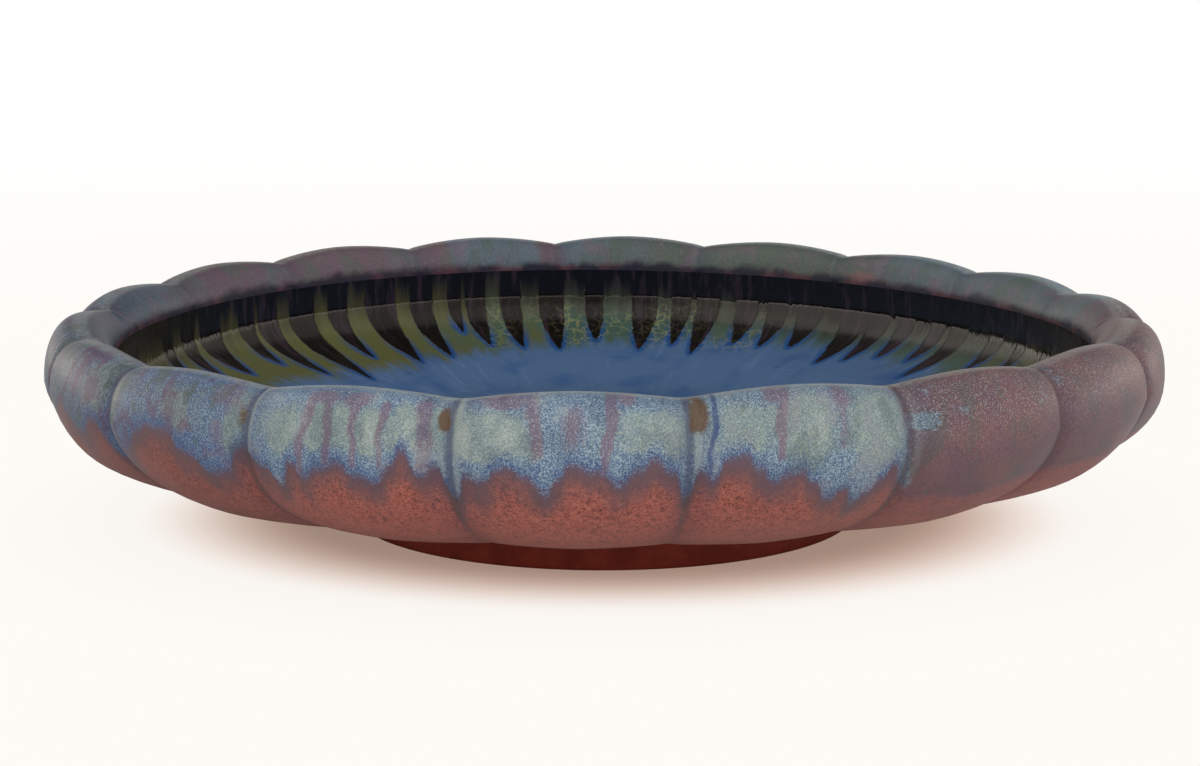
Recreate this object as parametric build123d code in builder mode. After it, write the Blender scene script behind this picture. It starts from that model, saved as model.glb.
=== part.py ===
"""A lobed stoneware suiban: a low, wide water basin for flower arranging.

Millimetres, +Z up. The origin is on the axis of the basin, on the table that it stands on.
"""

import os
from math import asin, atan2, cos, hypot, radians, sin, tan

from build123d import *

# The basin's outside, measured through the middle of a lobe
lobe_count = 18
belly_diameter = 360.0
belly_height = 51.0
rim_height = 69.4
crest_inset = 11.2
lip_inset = 11.2
lip_drop = 11.6
under_round = 27.0

# The rim falls from its crest to the lip in two flats: where they meet, as shares of the inset and the drop
lip_bend_in = 0.7
lip_bend_down = 0.3

# A groove between two lobes: its depth at the belly, the lean of the wall above it and the dip of the crest
groove_depth = 3.5
groove_lean = 9.4
groove_dip = 2.8

# Stations that shape a lobe, from the groove at -1 over the middle to the groove at 1
lobe_stations = (-1.0, -0.75, -0.4, 0.0, 0.4, 0.75, 1.0)

# The foot ring, stuck on under the floor with slip
foot_diameter = 166.0
foot_height = 15.1
foot_width = 12.0
foot_edge = 1.4

# The hollow of the basin: a level floor, a gentle slope, a cove and an upright band up to the lip
floor_thickness = 7.0
base_recess = 1.0
slope_angle = 13.0
slope_rise = 10.2
cove_run = 17.6
cove_rise = 13.5

# The glass inside: its thickness on the wall and the slope, and its depth where it pooled on the floor
glass_thickness = 0.8
pool_depth = 2.2

belly_radius = belly_diameter / 2
crest_radius = belly_radius - crest_inset
groove_radius = belly_radius - groove_depth
groove_crest_radius = groove_radius - groove_lean
lip_radius = crest_radius - lip_inset
lip_height = rim_height - lip_drop
foot_radius = foot_diameter / 2
core_radius = foot_radius - foot_width
floor_height = foot_height + floor_thickness
pool_height = floor_height + pool_depth
half_lobe = 180.0 / lobe_count

# The underside rises from the foot as a cone, at the angle that runs smoothly into the round below the belly
under_run = belly_radius - under_round - foot_radius
under_rise = belly_height - foot_height
under_angle = atan2(under_rise, under_run) - asin(under_round / hypot(under_run, under_rise))

# Corners of the glass from the pool's shore up, and of the clay behind it from the floor's edge up
slope = tan(radians(slope_angle))
cove_foot = (lip_radius - cove_run, pool_height + slope_rise)
band_foot = (lip_radius, cove_foot[1] + cove_rise)
shore = (cove_foot[0] - slope_rise / slope, pool_height)
clay_cove_foot = (cove_foot[0] + glass_thickness, cove_foot[1] - glass_thickness)
clay_band_foot = (band_foot[0] + glass_thickness, band_foot[1])
clay_band_top = (clay_band_foot[0], lip_height)
clay_floor_edge = (clay_cove_foot[0] - (clay_cove_foot[1] - floor_height) / slope, floor_height)

# One lobe with the wedge of the basin behind it, through upright sections from groove to groove
with BuildPart() as lobe:
    for across in lobe_stations:
        pressed = across**2
        turn = radians(across * half_lobe)
        belly = belly_radius - (belly_radius - groove_radius) * pressed
        girth = belly_height - (belly_radius - belly) * tan(under_angle)
        crest = crest_radius - (crest_radius - groove_crest_radius) * pressed
        top = rim_height - groove_dip * pressed
        round_start = (
            belly - under_round + under_round * sin(under_angle),
            girth - under_round * cos(under_angle),
        )
        upright = Plane(origin=(0, 0, 0), x_dir=(cos(turn), sin(turn), 0), z_dir=(sin(turn), -cos(turn), 0))
        with BuildSketch(upright):
            with BuildLine():
                underside = Line((foot_radius, foot_height), round_start)
                RadiusArc(underside @ 1, (belly, girth), -under_round)
                shoulder = EllipticalCenterArc((crest, girth), belly - crest, top - girth, 0)
                Polyline(
                    shoulder @ 1,
                    (crest - (crest - lip_radius) * lip_bend_in, top - (top - lip_height) * lip_bend_down),
                    (lip_radius, lip_height),
                    (core_radius, band_foot[1]),
                    (core_radius, foot_height),
                    underside @ 0,
                )
            make_face()
    loft(ruled=True)

# The hollow in the clay: a level floor, a slope, a cove and an upright band
with BuildSketch(Plane.XZ) as hollow:
    with BuildLine():
        Polyline(
            (0, floor_height),
            clay_floor_edge,
            clay_cove_foot,
            clay_band_foot,
            clay_band_top,
            (0, lip_height),
            close=True,
        )
    make_face()

# The ring of lobes is closed by the floor, which is turned a little hollow underneath, and hollowed out
with BuildPart() as lobed_basin:
    with PolarLocations(0, lobe_count, start_angle=half_lobe):
        add(lobe.part)
    with Locations((0, 0, foot_height + base_recess)):
        Cylinder(
            foot_radius - foot_width / 2,
            floor_thickness - base_recess,
            align=(Align.CENTER, Align.CENTER, Align.MIN),
        )
    revolve(hollow.sketch, axis=Axis.Z, mode=Mode.SUBTRACT)

# The foot ring, with its edges on the table eased
with BuildPart() as foot_ring:
    with BuildSketch(Plane.XZ):
        with Locations((foot_radius - foot_width / 2, foot_height / 2)):
            Rectangle(foot_width, foot_height)
        chamfer(vertices().group_by(Axis.Y)[0], foot_edge)
    revolve(axis=Axis.Z)

# The glass on the wall, from the lip down over the cove and the slope, thinning out under the pool's edge
with BuildPart() as wall_glaze:
    with BuildSketch(Plane.XZ):
        with BuildLine():
            Polyline(
                clay_floor_edge,
                clay_cove_foot,
                clay_band_foot,
                clay_band_top,
                (lip_radius, lip_height),
                band_foot,
                cove_foot,
                shore,
                close=True,
            )
        make_face()
    revolve(axis=Axis.Z)

# The pool of glass on the floor, level because it set while it was molten
with BuildPart() as floor_glaze:
    with BuildSketch(Plane.XZ):
        with BuildLine():
            Polyline((0, floor_height), clay_floor_edge, shore, (0, pool_height), close=True)
        make_face()
    revolve(axis=Axis.Z)

os.makedirs("parts", exist_ok=True)
lobed_basin.part.label = "lobed_basin"
foot_ring.part.label = "foot_ring"
wall_glaze.part.label = "wall_glaze"
floor_glaze.part.label = "floor_glaze"
export_step(lobed_basin.part, "parts/lobed_basin.step")
export_step(foot_ring.part, "parts/foot_ring.step")
export_step(wall_glaze.part, "parts/wall_glaze.step")
export_step(floor_glaze.part, "parts/floor_glaze.step")
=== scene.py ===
"""The lobed stoneware suiban, dressed: a puffed wall under a run glaze, dark glass inside and a blue pool.

Sizes are in millimetres and angles in degrees, from the front of the basin (-Y) towards its right (+X).
"""

import logging
import math
from collections.abc import Iterable
from dataclasses import dataclass
from enum import Enum, IntEnum

import bmesh
import bpy
import numpy as np
from mathutils import Matrix, Vector


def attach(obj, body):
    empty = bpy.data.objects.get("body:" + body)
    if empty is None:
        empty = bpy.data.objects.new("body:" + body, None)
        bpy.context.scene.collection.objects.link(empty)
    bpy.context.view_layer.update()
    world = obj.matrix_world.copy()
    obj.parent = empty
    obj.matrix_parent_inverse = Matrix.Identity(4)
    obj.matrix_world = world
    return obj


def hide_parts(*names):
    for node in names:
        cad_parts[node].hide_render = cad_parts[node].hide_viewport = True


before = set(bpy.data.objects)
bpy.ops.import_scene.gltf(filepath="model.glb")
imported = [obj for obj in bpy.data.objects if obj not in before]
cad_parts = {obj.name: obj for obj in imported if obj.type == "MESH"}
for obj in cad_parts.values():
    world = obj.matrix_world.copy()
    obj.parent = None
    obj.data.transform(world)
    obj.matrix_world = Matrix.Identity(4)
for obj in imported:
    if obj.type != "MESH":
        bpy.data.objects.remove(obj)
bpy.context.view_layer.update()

MM = 0.001
LOG = logging.getLogger("suiban")

Array = np.ndarray
Pairs = tuple[tuple[float, float], ...]
Triple = tuple[float, float, float]
Value = "Wire | float"
Colour = "Wire | Tint"


class Wire:
    """An output socket that can be used in sums as if it were a number."""

    def __init__(self, sheet: "Sheet", socket: bpy.types.NodeSocket) -> None:
        """Keeps the socket and the sheet that it is on."""
        self.sheet = sheet
        self.socket = socket

    def sum(self, operation: str, first: Value, second: Value = 0.0) -> "Wire":
        """Adds a Math node.

        Args:
            operation: The Math node's operation.
            first: Its first value.
            second: Its second value, where it has one.

        Returns:
            The result.
        """
        return self.sheet.node("ShaderNodeMath", {"operation": operation}, {0: first, 1: second})

    def __add__(self, other: Value) -> "Wire":
        """self + other."""
        return self.sum("ADD", self, other)

    def __radd__(self, other: Value) -> "Wire":
        """other + self."""
        return self.sum("ADD", other, self)

    def __sub__(self, other: Value) -> "Wire":
        """self - other."""
        return self.sum("SUBTRACT", self, other)

    def __rsub__(self, other: Value) -> "Wire":
        """other - self."""
        return self.sum("SUBTRACT", other, self)

    def __mul__(self, other: Value) -> "Wire":
        """self * other."""
        return self.sum("MULTIPLY", self, other)

    def __rmul__(self, other: Value) -> "Wire":
        """other * self."""
        return self.sum("MULTIPLY", other, self)

    def __abs__(self) -> "Wire":
        """abs(self)."""
        return self.sum("ABSOLUTE", self)

    def swing(self, reach: float) -> "Wire":
        """Noise from 0 to 1, turned into one that swings round 0 with that reach from end to end."""
        return (self - 0.5) * reach

    def top(self, other: Value) -> "Wire":
        """The larger of the two."""
        return self.sum("MAXIMUM", self, other)

    def step(self, low: float, high: float) -> "Wire":
        """A smooth step from 0 at low to 1 at high.

        Args:
            low: The value that gives 0.
            high: The value that gives 1, which may be the smaller one.

        Returns:
            The step.
        """
        settings = {"interpolation_type": "SMOOTHSTEP", "clamp": True}
        sockets = {"Value": self, 1: min(low, high), 2: max(low, high)}
        rise = self.sheet.node("ShaderNodeMapRange", settings, sockets)
        return rise if low < high else 1.0 - rise


@dataclass(frozen=True)
class Tint:
    """A colour as a screen shows it, each part from 0 to 255."""

    red: float
    green: float
    blue: float

    def linear(self) -> tuple[float, float, float, float]:
        """The colour as a shader socket takes it."""
        parts = [part / 255 for part in (self.red, self.green, self.blue)]
        return (*[p / 12.92 if p <= 0.04045 else ((p + 0.055) / 1.055) ** 2.4 for p in parts], 1.0)


class Sheet:
    """The node sheet of a material or of the world, with one method that makes every node on it."""

    def __init__(self, owner: bpy.types.Material | bpy.types.World) -> None:
        """Starts an empty sheet.

        Args:
            owner: The material or the world that the sheet belongs to.
        """
        owner.use_nodes = True
        self.owner = owner
        self.tree = owner.node_tree
        self.tree.nodes.clear()

    def make(self, kind: str, settings: dict, sockets: dict) -> bpy.types.Node:
        """Makes a node, sets it up and wires it.

        Args:
            kind: The node's type.
            settings: Its own settings, which are set first.
            sockets: Values or wires for its inputs, by name, identifier or number.

        Returns:
            The node.
        """
        made = self.tree.nodes.new(kind)
        for name, value in settings.items():
            setattr(made, name, value)
        for key, value in sockets.items():
            socket = self.find(made.inputs, key)
            if isinstance(value, Wire):
                self.tree.links.new(value.socket, socket)
            else:
                socket.default_value = value.linear() if isinstance(value, Tint) else value
        return made

    def node(self, kind: str, settings: dict, sockets: dict, out: int | str = 0) -> Wire:
        """Makes a node in the same way and gives the output that is wanted."""
        return Wire(self, self.find(self.make(kind, settings, sockets).outputs, out))

    @staticmethod
    def find(sockets: bpy.types.bpy_prop_collection, key: int | str) -> bpy.types.NodeSocket:
        """Finds a socket.

        Args:
            sockets: A node's inputs or outputs.
            key: The socket's identifier, name or number.

        Returns:
            The socket, by its identifier where one fits.
        """
        for socket in sockets:
            if socket.identifier == key:
                return socket
        return sockets[key]

    def field(self, name: str) -> Wire:
        """A number that the piece carries at each vertex."""
        return self.node("ShaderNodeAttribute", {"attribute_name": name}, {}, "Fac")

    def vector(self, name: str) -> Wire:
        """A place that the piece carries at each vertex."""
        return self.node("ShaderNodeAttribute", {"attribute_name": name}, {}, "Vector")

    def stretch(self, place: Wire, along: float) -> Wire:
        """A place scaled along the runs, which is its z."""
        return self.node("ShaderNodeMapping", {}, {"Vector": place, "Scale": (1.0, 1.0, along)})

    def noise(self, place: Wire, grain: float, detail: float, rough: float) -> Wire:
        """Noise from 0 to 1.

        Args:
            place: Where it is read, in millimetres.
            grain: The size of its patches in millimetres.
            detail: How many finer layers it has.
            rough: How strong those are.

        Returns:
            The noise.
        """
        sockets = {"Vector": place, "Scale": 1.0 / grain, "Detail": detail, "Roughness": rough}
        return self.node("ShaderNodeTexNoise", {"noise_dimensions": "3D"}, sockets, "Fac")

    def mix(self, low: Colour, high: Colour, share: Value) -> Wire:
        """Mixes two colours.

        Args:
            low: The colour at a share of 0.
            high: The colour at a share of 1.
            share: How much of the second there is.

        Returns:
            The mixed colour.
        """
        settings = {"data_type": "RGBA", "blend_type": "MIX", "clamp_factor": True}
        sockets = {"Factor_Float": share, "A_Color": low, "B_Color": high}
        return self.node("ShaderNodeMix", settings, sockets, "Result_Color")

    def coat(self, colour: Colour, *coats: tuple[Colour, Value]) -> Colour:
        """Lays coats over a colour in turn.

        Args:
            colour: The colour underneath.
            coats: Each coat's colour and its share.

        Returns:
            The colour that shows.
        """
        for over, share in coats:
            colour = self.mix(colour, over, share)
        return colour

    def finish(self, surface: Wire) -> bpy.types.Material | bpy.types.World:
        """Wires the surface to the output.

        Args:
            surface: The shader.

        Returns:
            The material or the world.
        """
        kind = "World" if isinstance(self.owner, bpy.types.World) else "Material"
        self.make("ShaderNodeOutput" + kind, {}, {"Surface": surface})
        return self.owner


class Tone(Enum):
    """What a patch or run of the outer glaze turns to."""

    MAUVE = "mauve"
    GREEN = "green"
    RUST = "rust"
    CRACK = "crack"
    FROST = "frost"
    # Painted sheen: pale patches where the front lobes catch the light
    PAINTED_SHEEN = "pale"


class Leg(IntEnum):
    """The station at which each leg of the wall's section ends."""

    BELLY = 1
    CREST = 2
    LIP = 3


@dataclass(frozen=True)
class Patch:
    """A soft patch in the outer glaze: its middle, and how far it reaches to each side."""

    angle: float
    height: float
    half_width: float
    half_height: float
    strength: float = 1.0

    def weight(self, angle: Array, height: Array, radius: float) -> Array:
        """How strong the patch is on the wall.

        Args:
            angle: The vertices' angles.
            height: Their heights.
            radius: The wall's radius.

        Returns:
            The strength at each vertex.
        """
        aside = arc_between(angle, self.angle, radius) / self.half_width
        above = (height - self.height) / self.half_height
        return self.strength * np.exp(-(aside**2) - np.abs(above) ** 3)


@dataclass(frozen=True)
class Run:
    """A narrow run in the outer glaze, from its top down to its tip."""

    angle: float
    top: float
    tip_angle: float
    tip: float
    half_width: float
    strength: float = 1.0
    taper: float = 0.35
    fade: float = 1.5

    def weight(self, angle: Array, height: Array, radius: float) -> Array:
        """How strong the run is on the wall.

        Args:
            angle: The vertices' angles.
            height: Their heights.
            radius: The wall's radius.

        Returns:
            The strength at each vertex.
        """
        share = np.clip((self.top - height) / (self.top - self.tip), 0.0, 1.0)
        middle = self.angle + (self.tip_angle - self.angle) * share
        aside = arc_between(angle, middle, radius) / (self.half_width * (1.0 - self.taper * share))
        past = np.maximum(height - self.top, 0.0) + np.maximum(self.tip - height, 0.0)
        return self.strength * np.exp(-(aside**2) - (past / self.fade) ** 2)


@dataclass(frozen=True)
class Tongue:
    """A pointed run of black glass down the inner wall: where it is, its half-width and the radius of its tip."""

    angle: float
    half_width: float
    tip_radius: float
    point: float = 0.8

    def inside(self, aside: Array, share: Array, beyond: Array) -> Array:
        """How far inside the tongue each vertex lies.

        Args:
            aside: Its distance from the tongue's middle line.
            share: How far down the tongue it lies, with 1 at the tip.
            beyond: How far past the tip it lies.

        Returns:
            The distance to the tongue's edge, below 0 outside it.
        """
        width = self.half_width * np.clip(1.0 - share**2, 0.0, 1.0) ** self.point
        away = np.abs(aside)
        return np.where(share < 1.0, width - away, -np.hypot(away, np.maximum(beyond, 0.0)))


# The clay under the glass, from the lip down to the floor: radius, height
HOLLOW = ((158.4, 57.8), (158.4, 48.0), (156.4, 42.7), (151.4, 38.4), (143.7, 35.0), (134.1, 32.3), (90.6, 22.1))

# The lower edge of the blue glaze flow on the front half: angle, height
FLOW_EDGE = (
    (-90.0, 48.0), (-84.0, 45.0), (-78.0, 50.0), (-72.2, 48.0), (-66.0, 45.0), (-60.9, 53.0), (-59.3, 49.9),
    (-55.6, 46.0), (-52.6, 51.5), (-49.8, 39.2), (-46.5, 45.0), (-43.6, 52.3), (-42.0, 54.7), (-39.4, 54.3),
    (-37.0, 49.0), (-33.8, 43.4), (-32.5, 44.5), (-30.3, 51.5), (-27.5, 48.0), (-26.3, 43.2), (-24.4, 49.9),
    (-23.5, 46.1), (-21.6, 48.7), (-20.0, 50.9), (-18.2, 47.7), (-16.3, 46.3), (-14.8, 51.1), (-14.0, 55.1),
    (-12.2, 48.5), (-11.0, 51.5), (-9.7, 41.3), (-8.2, 48.7), (-7.4, 47.3), (-4.8, 51.3), (-3.1, 48.9),
    (-1.5, 44.6), (-0.4, 48.7), (0.6, 52.2), (2.7, 50.6), (4.8, 47.2), (6.4, 50.9), (7.7, 53.5), (9.2, 50.1),
    (10.6, 41.6), (11.6, 50.1), (12.7, 47.7), (13.8, 52.8), (15.3, 54.1), (16.6, 49.9), (17.9, 46.7),
    (19.1, 48.2), (20.4, 49.2), (21.3, 45.8), (23.1, 40.3), (24.6, 43.0), (25.8, 38.2), (26.9, 40.7),
    (28.2, 44.4), (29.3, 48.2), (30.8, 41.2), (32.8, 37.0), (38.8, 35.5), (46.0, 38.0), (58.9, 38.5),
    (66.0, 35.0), (73.6, 38.0), (82.0, 43.0),
)

# Where the mauve-brown glaze takes over from the blue: angle, share
MAUVE_SIDE = (
    (-180.0, 0.1), (-172.0, 0.1), (-169.0, 0.75), (-166.0, 0.15), (-158.0, 0.1), (-153.0, 0.7), (-147.0, 0.55),
    (-142.0, 0.9), (-134.0, 0.85), (-128.0, 0.55), (-121.0, 0.65), (-112.0, 0.55), (-100.0, 0.2), (-75.0, 0.15),
    (-55.0, 0.3), (-45.0, 0.1), (-20.0, 0.0), (29.0, 0.0), (31.5, 0.7), (36.0, 1.0), (80.0, 1.0), (95.0, 0.6),
    (104.0, 0.25), (120.0, 0.1), (142.0, 0.2), (150.0, 0.05),
)

# Where the glaze is thicker and greener: angle, share
GREEN_SIDE = (
    (-180.0, 0.55), (-168.0, 0.2), (-150.0, 0.1), (-125.0, 0.2), (-105.0, 0.2), (-75.0, 0.15), (-50.0, 0.05),
    (-30.0, 0.1), (0.0, 0.0), (24.0, 0.2), (31.0, 0.1), (60.0, 0.0), (95.0, 0.2), (115.0, 0.4), (128.0, 0.35),
    (140.0, 0.35), (152.0, 0.85), (165.0, 0.95),
)

# How much darker the glaze is drawn round the basin, partly darker glaze and partly painted shade, most on the far
# left lobes: angle, share
DIM_SIDE = (
    (-180.0, 0.4), (-150.0, 0.4), (-110.0, 0.6), (-85.0, 1.4), (-62.0, 1.35), (-52.0, 0.95), (-38.0, 0.85),
    (-31.0, 0.5), (-26.0, 0.0), (10.0, 0.0), (17.0, 0.28), (29.0, 0.25), (36.0, 0.3), (60.0, 0.2), (95.0, 0.0),
    (125.0, 0.1), (150.0, 0.4),
)

# Where the glaze is a clearer blue: angle, share
AZURE_SIDE = (
    (-180.0, 0.1), (-100.0, 0.1), (-64.0, 0.05), (-50.0, 0.5), (-35.0, 0.5), (-28.0, 0.2), (-18.0, 0.15),
    (20.0, 0.05), (32.0, 0.0), (90.0, 0.0), (130.0, 0.1),
)

# How far the black reaches down from the lip inside: angle, distance
BAND = (
    (-180.0, 8.0), (-160.0, 6.0), (-140.0, 5.0), (-120.0, 6.0), (-100.0, 9.0), (100.0, 9.0), (125.0, 12.0),
    (150.0, 16.0), (165.0, 12.0),
)

# Where the glass inside is crazed: angle, share
CRAZED = ((-180.0, 1.0), (-163.0, 0.9), (-154.0, 0.15), (-140.0, 0.0), (140.0, 0.0), (155.0, 0.2), (163.0, 0.8))

# How far down the inner wall the olive turns to blue: angle, distance from the lip
TIDE = (
    (-180.0, 37.0), (-165.0, 40.0), (-150.0, 45.0), (-138.0, 50.0), (-125.0, 48.0), (-105.0, 42.0), (-90.0, 38.0),
    (90.0, 38.0), (105.0, 38.0), (120.0, 36.0), (135.0, 33.0), (150.0, 29.0), (165.0, 33.0),
)

# Where that olive is more of a teal: angle, share
TEAL_SIDE = (
    (-180.0, 0.75), (-160.0, 0.5), (-140.0, 0.15), (-110.0, 0.05), (-90.0, 0.3), (90.0, 0.3), (105.0, 0.3),
    (125.0, 0.7), (150.0, 0.9), (168.0, 0.7),
)

# The patches and runs in the glaze on the front; the pale patches are painted sheen where the front lobes catch the
# light
MARKS = {
    Tone.GREEN: (
        Patch(-25.6, 56.8, 4.0, 6.0), Patch(-21.9, 60.0, 2.3, 6.0), Patch(-19.5, 60.5, 2.6, 6.0),
        Patch(-16.9, 59.5, 2.8, 6.5), Patch(-14.0, 60.0, 3.4, 6.5), Patch(-10.9, 60.0, 2.0, 6.0),
        Patch(-6.1, 58.6, 10.0, 6.5), Patch(8.1, 59.3, 6.5, 5.5), Patch(15.6, 60.8, 6.5, 6.0, 0.7),
        Patch(20.9, 59.5, 6.0, 8.0), Patch(27.6, 57.5, 7.0, 10.0), Patch(-31.2, 58.0, 2.6, 9.0, 0.8),
        Patch(-38.5, 60.0, 5.0, 6.0, 0.7), Patch(-48.6, 57.0, 2.4, 9.0, 0.8), Patch(-52.5, 61.0, 6.0, 8.0, 0.8),
        Patch(-69.0, 60.0, 5.0, 9.0, 0.7),
    ),
    Tone.MAUVE: (
        Patch(-21.6, 67.2, 5.0, 1.7, 0.9), Patch(-18.4, 67.0, 4.0, 1.8), Patch(-5.4, 67.6, 8.0, 2.2, 0.9),
        Patch(0.9, 61.5, 4.0, 6.5, 0.7), Patch(5.6, 68.0, 2.6, 1.8, 0.8), Patch(18.6, 68.0, 3.6, 1.8),
        Patch(24.6, 66.8, 3.2, 2.6, 0.9), Patch(-33.1, 65.6, 5.0, 3.0, 0.8), Patch(-41.8, 50.9, 4.5, 3.5, 0.9),
        Patch(-46.0, 66.0, 4.0, 4.0, 0.5), Patch(-56.5, 60.0, 6.0, 6.0, 0.6), Patch(-64.0, 64.0, 8.0, 5.0, 0.7),
        Patch(-76.0, 62.0, 8.0, 6.0, 0.6),
        Run(-23.0, 67.0, -23.7, 47.6, 1.9), Run(-21.1, 67.3, -20.9, 51.0, 1.6), Run(-18.4, 66.5, -18.5, 51.5, 1.5),
        Run(-15.8, 66.0, -15.9, 48.5, 1.3), Run(-12.2, 66.0, -11.9, 50.0, 2.6), Run(-2.6, 68.0, -2.2, 55.0, 2.8, 0.85),
        Run(4.1, 69.0, 3.6, 51.5, 1.9), Run(19.0, 69.0, 18.4, 53.0, 1.8), Run(24.4, 66.5, 23.9, 54.5, 2.4, 0.6),
    ),
    Tone.RUST: (
        Patch(-10.3, 62.6, 1.7, 3.4), Patch(11.5, 63.4, 2.7, 4.6), Patch(-30.6, 60.0, 1.6, 3.2, 0.65),
    ),
    # Painted sheen: pale patches on the front lobes where they catch the light
    Tone.PAINTED_SHEEN: (
        Patch(-16.6, 59.5, 2.6, 5.0), Patch(-13.6, 60.0, 2.2, 4.0, 0.7), Patch(-8.4, 58.5, 2.2, 6.0),
        Patch(-4.8, 59.5, 3.5, 4.0, 0.8), Patch(9.4, 59.0, 1.8, 5.0, 0.8), Patch(21.8, 60.0, 3.2, 5.0, 0.75),
    ),
    Tone.CRACK: (Run(13.0, 67.5, 12.3, 48.5, 1.2),),
    Tone.FROST: (
        Patch(36.4, 60.6, 4.5, 2.2, 0.7), Patch(32.4, 58.8, 6.0, 2.6), Patch(33.5, 66.0, 2.5, 2.5, 0.5),
        Run(30.4, 56.0, 31.2, 40.5, 2.2), Patch(47.0, 61.0, 4.0, 4.0, 0.7), Patch(50.5, 64.5, 3.0, 3.0, 0.7),
    ),
}

# The pink patch on the rim at the back
BLUSH = Patch(145.8, 59.5, 7.0, 3.6)

# The black tongues on the back half of the inner wall, which the front half repeats
TONGUES = (
    Tongue(-103.3, 4.2, 147.1), Tongue(-108.4, 4.6, 143.0), Tongue(-113.6, 6.6, 139.2), Tongue(-121.2, 4.4, 140.4),
    Tongue(-125.2, 5.0, 126.5), Tongue(-131.2, 6.0, 117.0), Tongue(-137.2, 4.4, 133.5), Tongue(-144.0, 6.6, 125.6),
    Tongue(-150.2, 5.0, 127.0), Tongue(-155.1, 3.0, 146.0), Tongue(-158.1, 4.4, 135.0), Tongue(-163.2, 4.4, 131.0),
    Tongue(-169.1, 5.2, 129.0), Tongue(-175.2, 4.0, 136.0), Tongue(177.7, 5.4, 128.5), Tongue(172.5, 4.0, 134.0),
    Tongue(168.7, 4.8, 127.0), Tongue(162.9, 5.0, 137.5), Tongue(158.4, 4.6, 137.0), Tongue(153.5, 5.6, 138.5),
    Tongue(146.2, 6.0, 128.0), Tongue(142.4, 4.6, 133.5), Tongue(137.9, 4.2, 139.5), Tongue(132.4, 4.0, 140.5),
    Tongue(128.4, 4.8, 128.0), Tongue(120.9, 4.6, 144.0), Tongue(114.9, 3.6, 145.0), Tongue(108.0, 4.2, 148.0),
    Tongue(97.8, 4.0, 144.0), Tongue(88.0, 5.0, 140.0), Tongue(-92.2, 4.6, 141.0),
)


def gap_at(ends: Array, angle: Array) -> tuple[Array, Array]:
    """Finds the gap in which each angle lies.

    Args:
        ends: The angles at which the gaps end, in order, over one full turn.
        angle: The angles.

    Returns:
        The number of each one's gap, and how far across that gap it is, from 0 to 1.
    """
    turned = np.mod(angle - ends[0], 360.0) + ends[0]
    gap = np.clip(np.searchsorted(ends, turned, side="right") - 1, 0, len(ends) - 2)
    return gap, (turned - ends[gap]) / (ends[gap + 1] - ends[gap])


def line_through(points: Pairs, angle: Array, rounds: int = 1) -> Array:
    """A smooth line round the basin through given points.

    Args:
        points: Pairs of angle and value, in order of angle.
        angle: The angles where the line is wanted.
        rounds: How often the step between two points is smoothed, which flattens the line at each of them.

    Returns:
        Its value at each of them.
    """
    ends, values = np.array((*points, (points[0][0] + 360.0, points[0][1]))).T
    gap, share = gap_at(ends, angle)
    for _ in range(rounds):
        share = share * share * (3.0 - 2.0 * share)
    return values[gap] + (values[gap + 1] - values[gap]) * share


def arc_between(angle: Array, centre: Array | float, radius: float) -> Array:
    """The signed distance round the basin from a centre angle, in millimetres."""
    return np.radians(np.mod(angle - centre + 180.0, 360.0) - 180.0) * radius


def bezier(points: tuple, share: Array) -> Array:
    """A cubic curve.

    Args:
        points: Its four points, each a number or an array.
        share: How far along the curve.

    Returns:
        Its value at each share.
    """
    rest = 1.0 - share
    first, second, third, last = points
    return rest**3 * first + 3 * rest**2 * share * second + 3 * rest * share**2 * third + share**3 * last


def stations_of(*rows: int) -> Array:
    """The stations along a section whose legs are each one long and have that many rows."""
    last = len(rows) - 1
    return np.concatenate([np.linspace(leg, leg + 1, count, endpoint=leg == last) for leg, count in enumerate(rows)])


def travel_along(radii: Array, heights: Array) -> Array:
    """How far each point of a section lies along it from the first."""
    return np.concatenate([[0.0], np.cumsum(np.hypot(np.diff(radii), np.diff(heights)))])


def round_axis(angle: Array, radius: Array | float, height: Array) -> Array:
    """The places at those angles, radii and heights."""
    turn = np.radians(angle)
    return np.stack([radius * np.sin(turn), -radius * np.cos(turn), height], axis=1)


def put(name: str, data: bpy.types.ID) -> bpy.types.Object:
    """Puts a mesh, a lamp or a camera into the scene.

    Args:
        name: The object's name.
        data: What it shows.

    Returns:
        The object.
    """
    made = bpy.data.objects.new(name, data)
    bpy.context.scene.collection.objects.link(made)
    return made


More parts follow.
